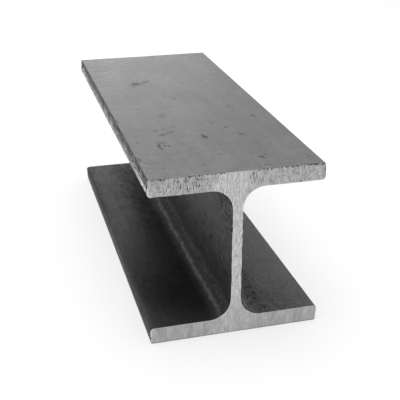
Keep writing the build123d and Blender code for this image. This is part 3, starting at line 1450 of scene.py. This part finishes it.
    def end_grit(self) -> Array:
        """How thickly grit lies near the sawn ends: on the upper flange's edges, high on the web and on
        the lower flange's left seat.

        Returns:
            One number a place.
        """
        at, corner = self.outline, SectionCorner
        levels = {
            at.on_run(corner.LOWER_RIGHT_ROOT, 0.4): 0.0,
            at.end(corner.LOWER_RIGHT_ROOT): 0.3,
            at.on_run(corner.LOWER_RIGHT_ROOT, 0.9): 0.8,
            at.end(corner.UPPER_RIGHT_ROOT): 0.2,
            at.start(corner.UPPER_RIGHT_LIP): 0.0,
            at.on_arc(corner.UPPER_RIGHT_LIP, 0.4): 1.1,
            at.on_run(corner.UPPER_RIGHT_LIP, 0.3): 1.1,
            at.end(corner.UPPER_RIGHT_TOE): 0.0,
            at.start(corner.UPPER_LEFT_TOE): 0.0,
            at.on_run(corner.UPPER_LEFT_TOE, 0.7): 1.1,
            at.on_arc(corner.UPPER_LEFT_LIP, 0.6): 1.1,
            at.end(corner.UPPER_LEFT_LIP): 0.0,
            at.start(corner.UPPER_LEFT_ROOT): 0.2,
            at.on_run(corner.UPPER_LEFT_ROOT, 0.1): 0.9,
            at.on_run(corner.UPPER_LEFT_ROOT, 0.5): 0.6,
            at.on_run(corner.UPPER_LEFT_ROOT, 0.8): 0.0,
            at.on_arc(corner.LOWER_LEFT_ROOT, 0.6): 0.0,
            at.end(corner.LOWER_LEFT_ROOT): 0.35,
            at.start(corner.LOWER_LEFT_LIP): 0.35,
            at.end(corner.LOWER_LEFT_LIP): 0.0,
        }
        return at.profile(levels)


class EndGrids:
    """Grids of vertex numbers that fill the section, where the outline's own places come first."""

    def __init__(self, section: RolledSection, outline: Outline) -> None:
        """Starts with the outline's own places."""
        self.section, self.outline = section, outline
        self.blocks = [outline.points]

    def take(self, new: Array) -> Indices:
        """Adds vertices.

        Args:
            new: Their places, across and up.

        Returns:
            Their numbers.
        """
        first = sum(len(block) for block in self.blocks)
        self.blocks.append(new)
        return np.arange(first, first + len(new))

    def across_web(self, left: int, right: int) -> Indices:
        """Adds vertices on a line across the web.

        Args:
            left: Number of its left end, on the outline.
            right: Number of its right end, on the outline.

        Returns:
            Numbers along the line, with both ends.
        """
        points = self.outline.points
        share = np.linspace(0.0, 1.0, self.section.web_columns + 1)[1:-1, None]
        inner = self.take(points[left] * (1.0 - share) + points[right] * share)
        return np.concatenate([[left], inner, [right]])

    def patch(self, bottom: Indices, right: Indices, top: Indices, left: Indices) -> Indices:
        """Adds the inside of a grid whose border is known.

        Args:
            bottom: Numbers from left to right.
            right: Numbers from bottom to top.
            top: Numbers from left to right.
            left: Numbers from bottom to top.

        Returns:
            Numbers of the whole grid, in rows from bottom to top.
        """
        known = np.concatenate(self.blocks)
        fade = self.section.seat_runs / self.section.flange_columns
        inside = filled(known[bottom], known[right], known[top], known[left], fade)
        grid = np.empty(inside.shape[:2], dtype=np.int64)
        grid[0], grid[-1], grid[:, 0], grid[:, -1] = bottom, top, left, right
        grid[1:-1, 1:-1] = self.take(inside[1:-1, 1:-1].reshape(-1, 2)).reshape(grid[1:-1, 1:-1].shape)
        return grid

    def build(self) -> tuple[list[Indices], Array]:
        """Fills the lower flange, the web and the upper flange, with a line across the web between each two.

        Returns:
            The three grids in rows from the floor up, and the places of all their vertices, across and up.
        """
        at, corner = self.outline, SectionCorner
        low_line = self.across_web(at.start(corner.LOWER_LEFT_ROOT), at.end(corner.LOWER_RIGHT_ROOT))
        high_line = self.across_web(at.end(corner.UPPER_LEFT_ROOT), at.start(corner.UPPER_RIGHT_ROOT))
        lower_left_inside = at.between(at.start(corner.LOWER_LEFT_ROOT), at.start(corner.LOWER_LEFT_LIP))
        lower_right_inside = at.between(at.end(corner.LOWER_RIGHT_LIP), at.end(corner.LOWER_RIGHT_ROOT))
        upper_right_inside = at.between(at.start(corner.UPPER_RIGHT_ROOT), at.start(corner.UPPER_RIGHT_LIP))
        upper_left_inside = at.between(at.end(corner.UPPER_LEFT_LIP), at.end(corner.UPPER_LEFT_ROOT))
        lower = self.patch(
            at.between(at.end(corner.LOWER_LEFT_TOE), at.start(corner.LOWER_RIGHT_TOE)),
            at.between(at.start(corner.LOWER_RIGHT_TOE), at.end(corner.LOWER_RIGHT_LIP)),
            np.concatenate([lower_left_inside[:0:-1], low_line, lower_right_inside[-2::-1]]),
            at.between(at.start(corner.LOWER_LEFT_LIP), at.end(corner.LOWER_LEFT_TOE))[::-1],
        )
        web = self.patch(
            low_line,
            at.between(at.end(corner.LOWER_RIGHT_ROOT), at.start(corner.UPPER_RIGHT_ROOT)),
            high_line,
            at.between(at.end(corner.UPPER_LEFT_ROOT), at.start(corner.LOWER_LEFT_ROOT))[::-1],
        )
        upper = self.patch(
            np.concatenate([upper_left_inside[:-1], high_line, upper_right_inside[1:]]),
            at.between(at.start(corner.UPPER_RIGHT_LIP), at.end(corner.UPPER_RIGHT_TOE)),
            at.between(at.end(corner.UPPER_RIGHT_TOE), at.start(corner.UPPER_LEFT_TOE))[::-1],
            at.between(at.start(corner.UPPER_LEFT_TOE), at.end(corner.UPPER_LEFT_LIP))[::-1],
        )
        return [lower, web, upper], np.concatenate(self.blocks)


@dataclass(frozen=True)
class Shell:
    """The beam's closed mesh as arrays, with the skin before the ends.

    Attributes:
        places: Places of the vertices; the skin's are in rows along the beam.
        quads: Vertex numbers of each quad, wound to face outwards.
        flat: For each quad corner, its distance round and along the skin, or across and up an end.
        burr: Share of the full burr at each vertex.
        ridge: Share of the full ridge at each vertex of the skin.
        finish: Material slot of each quad.
    """

    places: Array
    quads: Indices
    flat: Array
    burr: Array
    ridge: Array
    finish: Indices


@dataclass
class IBeam:
    """The whole beam: one closed mesh of skin and sawn ends, in the solid's own place."""

    section: RolledSection
    length: float
    foot: float
    rows: int = 165
    crowding: float = 0.75
    smooth_angle: float = 40.0
    rub_place: float = 14.0 * MM
    rub_reach: float = 15.0 * MM
    rub_shares: Range = (0.1, 1.2)
    grit_reach: float = 26.0 * MM
    end_light_reach: float = 13.0 * MM
    end_light_share: float = 0.4
    seat_shade_place: float = -90.0 * MM
    seat_shade_reach: float = 47.0 * MM
    seat_shade_share: float = 0.55
    smear_place: float = 60.0 * MM
    smear_reach: float = 90.0 * MM
    smear_share: float = 0.27
    map_gap: float = 3.0 * MM
    map_end_scale: float = 2.0
    rolling: RollingRelief = RollingRelief()
    sawing: SawRelief = SawRelief()
    mill_scale: MillScale = MillScale()
    sawn_steel: SawnSteel = SawnSteel()

    def __post_init__(self) -> None:
        """Works out the outline and the stations along the beam, which crowd towards both ends."""
        self.outline = self.section.outline()
        share = np.linspace(-1.0, 1.0, self.rows)
        eased = (1.0 - self.crowding) * share + self.crowding * np.sin(0.5 * math.pi * share)
        self.stations = 0.5 * self.length * eased

    def skin(self) -> tuple[Array, Array]:
        """The skin: the outline carried along the stations, then sunk by the relief and raised by the
        ridges.

        Returns:
            Places in rows along the beam, and the share of the full ridge at each.
        """
        count = len(self.outline.points)
        flat = np.tile(self.outline.points, (self.rows, 1))
        facing = np.tile(self.outline.normals, (self.rows, 1))
        along = np.repeat(self.stations, count)
        places = np.stack([flat[:, 0], along, self.foot + flat[:, 1]], axis=1)
        normals = np.stack([facing[:, 0], np.zeros_like(along), facing[:, 1]], axis=1)
        girth = np.tile(self.outline.girth[:-1], self.rows)
        ridge = self.rolling.ridge(self.outline, self.stations).reshape(-1)
        depth = self.rolling.depth(places, girth, self.outline.girth[-1], 0.5 * self.length)
        return places + normals * (self.rolling.ridge_height * ridge - depth)[:, None], ridge

    def skin_faces(self) -> tuple[Indices, Array]:
        """Quads of the skin, wound to face outwards.

        Returns:
            Vertex numbers of each quad, and for each quad corner its distance round the section and
            along the beam.
        """
        count = len(self.outline.points)
        steps_round = np.arange(count)[:, None] + np.array([0, 0, 1, 1])
        steps_along = np.arange(self.rows - 1)[:, None] + np.array([0, 1, 1, 0])
        columns = np.broadcast_to(steps_round[None], (self.rows - 1, count, 4))
        ranks = np.broadcast_to(steps_along[:, None], (self.rows - 1, count, 4))
        faces = (ranks * count + columns % count).reshape(-1, 4)
        unrolled = np.stack([self.outline.girth[columns], self.stations[ranks]], axis=-1)
        return faces, unrolled.reshape(-1, 4, 2)

    def burr(self, places: Array) -> Array:
        """Share of the full burr on a sawn end: a bell curve of the distance from the edge, times the
        edge's own share.

        Args:
            places: Places on the end, across and up.

        Returns:
            Share from 0 to 1.
        """
        gaps = np.linalg.norm(places[:, None] - self.outline.points[None], axis=2)
        edge = SkinWearAndPaintedLight(self.outline).burr()
        return bell(gaps.min(axis=1), self.sawing.burr_reach) * edge[gaps.argmin(axis=1)]

    def shell(self) -> Shell:
        """Joins the skin and both sawn ends: each end is sunk by the relief of sawing, and the skin's
        last row there goes with it.

        Returns:
            The closed mesh as arrays.
        """
        count = len(self.outline.points)
        skin, ridge = self.skin()
        faces, unrolled = self.skin_faces()
        grids, flat = EndGrids(self.section, self.outline).build()
        burr = self.burr(flat)
        places = [skin]
        quads = [faces]
        laid_flat = [unrolled]
        burrs = [np.zeros(len(skin))]
        for end in BeamEnd:
            row = 0 if end is BeamEnd.FRONT else (self.rows - 1) * count
            first = sum(len(block) for block in places)
            face = np.stack([flat[:, 0], np.zeros(len(flat)), self.foot + flat[:, 1]], axis=1)
            face[:, 1] = end.value * (0.5 * self.length - self.sawing.depth(face, burr))
            skin[row:row + count, 1] = face[:count, 1]
            places.append(face[count:])
            burrs[0][row:row + count] = burr[:count]
            burrs.append(burr[count:])
            for grid in grids:
                corners = np.stack([grid[:-1, :-1], grid[:-1, 1:], grid[1:, 1:], grid[1:, :-1]], axis=-1)
                corners = corners.reshape(-1, 4)
                if end is BeamEnd.BACK:
                    corners = corners[:, ::-1]
                quads.append(np.where(corners < count, corners + row, corners - count + first))
                laid_flat.append(flat[corners])
        finish = np.full(sum(len(block) for block in quads), Finish.SAWN_STEEL.value)
        finish[:len(faces)] = Finish.MILL_SCALE.value
        joined = [np.concatenate(blocks) for blocks in (places, quads, laid_flat, burrs)]
        return Shell(*joined, ridge, finish)

    def attributes(self, shell: Shell) -> dict[str, Array]:
        """Numbers that the finishes read: each is a profile round the section, some of them times a bell
        curve along the beam.

        Args:
            shell: The beam's mesh.

        Returns:
            One number a vertex, by name.
        """
        wear = SkinWearAndPaintedLight(self.outline)
        along = shell.places[:len(shell.ridge), 1]
        from_end = 0.5 * self.length - np.abs(along)

        def round_skin(profile: Array) -> Array:
            """A profile round the section, repeated along the beam."""
            return np.tile(profile, self.rows)

        least, most = self.rub_shares
        rubbed = least + most * bell(from_end - self.rub_place, self.rub_reach)
        gritty = bell(from_end, self.grit_reach)
        # Painted light: the channels' grime and painted shade lifted near the sawn ends
        end_lit = self.end_light_share * bell(from_end, self.end_light_reach) * round_skin(wear.end_light())
        # Painted shade on the left seat towards the front end
        seat_shaded = self.seat_shade_share * bell(along - self.seat_shade_place, self.seat_shade_reach)
        smeared = self.smear_share * bell(along - self.smear_place, self.smear_reach)
        dirt_and_shade = seat_shaded * round_skin(wear.seat_shade()) + smeared * round_skin(wear.smear())
        on_skin = {
            # Darker scale in the channels, partly painted shade: the left channel more than the right
            "scale_and_shade": round_skin(wear.scale_and_shade()),
            # Rubbed edges, partly a painted reflection of the floor
            "wear": round_skin(wear.wear()) * rubbed,
            # Grime, with painted shade by the upper toes and along the roots
            "grime_and_shade": (round_skin(wear.grime_and_shade()) + dirt_and_shade) * (1.0 - end_lit),
            "speckle": round_skin(wear.speckle()),
            "grit": round_skin(wear.grit()) + round_skin(wear.end_grit()) * gritty,
            "ridge": shell.ridge,
        }
        inside_ends = np.zeros(len(shell.places) - len(along))
        numbers = {name: np.concatenate([values, inside_ends]) for name, values in on_skin.items()}
        return {**numbers, "burr": shell.burr}

    def build(self) -> bpy.types.Object:
        """Builds the closed mesh, dresses it and puts it in the place of the solid.

        Returns:
            The finished object.
        """
        shell = self.shell()
        mesh = bpy.data.meshes.new("i_beam_skin")
        mesh.from_pydata(shell.places, [], shell.quads)
        mesh.polygons.foreach_set("material_index", shell.finish)
        mesh.polygons.foreach_set("use_smooth", np.ones(len(mesh.polygons), dtype=bool))
        mesh.set_sharp_from_angle(angle=math.radians(self.smooth_angle))
        self.add_maps(mesh, shell)
        for name, values in self.attributes(shell).items():
            attribute = mesh.attributes.new(name, "FLOAT", "POINT")
            attribute.data.foreach_set("value", values.astype(np.float32))
        mesh.materials.append(self.mill_scale.material())
        mesh.materials.append(self.sawn_steel.material())
        beam = bpy.data.objects.new("rolled_beam", mesh)
        bpy.context.scene.collection.objects.link(beam)
        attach(beam, "root")
        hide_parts(NODE)
        return beam

    def add_maps(self, mesh: bpy.types.Mesh, shell: Shell) -> None:
        """Adds the map that the rolled streaks follow, in metres, and a map for baking: the skin in two
        strips that meet on outer corners, with both ends beside them at a larger scale.

        Args:
            mesh: Mesh to add to.
            shell: The same mesh as arrays.
        """
        gap = self.map_gap
        first, second = shell.flat[..., 0], shell.flat[..., 1]
        sawn = shell.finish == Finish.SAWN_STEEL.value
        split = self.outline.girth[self.outline.start(SectionCorner.UPPER_RIGHT_TOE)]
        upper = (first.mean(axis=1, keepdims=True) > split).astype(float)
        round_skin = first - upper * split
        along_skin = second + 0.5 * self.length + upper * (self.length + gap)
        ends = np.flatnonzero(sawn)
        back = (np.arange(len(sawn)) >= ends[len(ends) // 2])[:, None]
        across_end = self.map_end_scale * (first + 0.5 * self.section.width) + split + gap
        up_end = self.map_end_scale * second + back * (self.length + gap)
        skin = np.stack([round_skin, along_skin], axis=-1)
        laid = np.where(sawn[:, None, None], np.stack([across_end, up_end], axis=-1), skin) + gap
        laid /= 2 * self.length + 3 * gap
        for name, places in ((STREAK_MAP, shell.flat), (BAKE_MAP, laid)):
            mesh.uv_layers.new(name=name).uv.foreach_set("vector", places.reshape(-1).astype(np.float32))


@dataclass(frozen=True)
class Studio:
    """White floor, soft surrounding light and one large soft lamp overhead."""

    floor: StudioFloor = StudioFloor()
    floor_size: float = 40.0
    floor_gap: float = 0.05 * MM
    lamp_place: Triple = (-0.1, 0.2, 1.3)
    lamp_size: float = 1.2
    lamp_power: float = 10.0
    sky: float = 0.75
    dim_way: Triple = (-0.62, 0.75, 0.23)
    dim_edge: Range = (0.72, 0.97)
    dim_share: float = 0.7
    glow_way: Triple = (0.109, 0.993, 0.05)
    glow_edge: Range = (0.962, 1.0)
    glow: float = 1.65

    def build(self, foot: float) -> None:
        """Builds the floor, the lamp and the world.

        Args:
            foot: Height of the surface that the beam stands on.
        """
        half = 0.5 * self.floor_size
        corners = np.array([(-half, -half), (half, -half), (half, half), (-half, half)])
        places = np.concatenate([corners, np.full((4, 1), foot - self.floor_gap)], axis=1)
        mesh = bpy.data.meshes.new("studio_floor")
        mesh.from_pydata(places, [], [(0, 1, 2, 3)])
        mesh.materials.append(self.floor.material())
        floor = bpy.data.objects.new("studio_floor", mesh)
        bpy.context.scene.collection.objects.link(floor)
        self.add_lamp()
        self.add_world()

    def add_lamp(self) -> None:
        """Adds the overhead lamp, turned to the beam."""
        lamp = bpy.data.lights.new("soft_box", "AREA")
        lamp.shape = "SQUARE"
        lamp.size = self.lamp_size
        lamp.energy = self.lamp_power
        holder = bpy.data.objects.new("soft_box", lamp)
        holder.location = self.lamp_place
        holder.rotation_euler = Vector(self.lamp_place).to_track_quat("Z", "Y").to_euler()
        bpy.context.scene.collection.objects.link(holder)

    def add_world(self) -> None:
        """Adds the light from all round: even, but dim at the back on the left and brightest low at the
        back."""
        world = bpy.data.worlds.new("studio_light")
        world.use_nodes = True
        graph = NodeGraph(world.node_tree)
        way = graph.add("ShaderNodeTexCoord").outputs["Generated"]
        to_dim = graph.vector("DOT_PRODUCT", way, self.dim_way).outputs["Value"]
        dimmed = graph.ease(to_dim, *self.dim_edge, 1.0, 1.0 - self.dim_share)
        to_glow = graph.vector("DOT_PRODUCT", way, self.glow_way).outputs["Value"]
        glow = graph.ease(to_glow, *self.glow_edge, 0.0, self.glow)
        level = graph.product(graph.total(self.sky, glow), dimmed)
        light = graph.add("ShaderNodeBackground", {"Strength": level})
        output = graph.add("ShaderNodeOutputWorld")
        world.node_tree.links.new(light.outputs[0], output.inputs["Surface"])
        bpy.context.scene.world = world


@dataclass(frozen=True)
class ViewCamera:
    """Camera in front of the beam's left corner, looking down on it."""

    place: Triple = (-0.12517, -0.50039, 0.26231)
    azimuth: float = -15.445
    elevation: float = 24.362
    roll: float = 0.306
    lens: float = 72.90
    sensor: float = 36.0

    def build(self) -> None:
        """Adds the camera, turned by its azimuth, its elevation and a little roll, and makes it the
        scene's own."""
        turn, rise, roll = (math.radians(angle) for angle in (self.azimuth, self.elevation, self.roll))
        back = Vector((math.sin(turn) * math.cos(rise), -math.cos(turn) * math.cos(rise), math.sin(rise)))
        level = Vector((math.cos(turn), math.sin(turn), 0.0))
        upright = back.cross(level)
        right = math.cos(roll) * level + math.sin(roll) * upright
        up = math.cos(roll) * upright - math.sin(roll) * level
        camera = bpy.data.cameras.new("view")
        camera.lens = self.lens
        camera.sensor_width = self.sensor
        camera.sensor_fit = "HORIZONTAL"
        holder = bpy.data.objects.new("view", camera)
        turned = Matrix((right, up, back)).transposed().to_4x4()
        holder.matrix_world = Matrix.Translation(self.place) @ turned
        bpy.context.scene.collection.objects.link(holder)
        bpy.context.scene.camera = holder


def main() -> None:
    """Builds the beam, its studio and the camera, and logs the beam's counts of vertices and faces."""
    logging.basicConfig(level=logging.INFO, format="%(name)s: %(message)s")
    low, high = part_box(NODE)
    size = high - low
    beam = IBeam(RolledSection(width=size.x, height=size.z), length=size.y, foot=low.z).build()
    log.info("%s: %d vertices, %d faces", beam.name, len(beam.data.vertices), len(beam.data.polygons))
    Studio().build(low.z)
    log.info("studio: floor, soft box and world")
    ViewCamera().build()
    log.info("camera: set")
    bpy.context.scene.view_settings.view_transform = "Standard"
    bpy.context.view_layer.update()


if __name__ == "__main__":
    main()
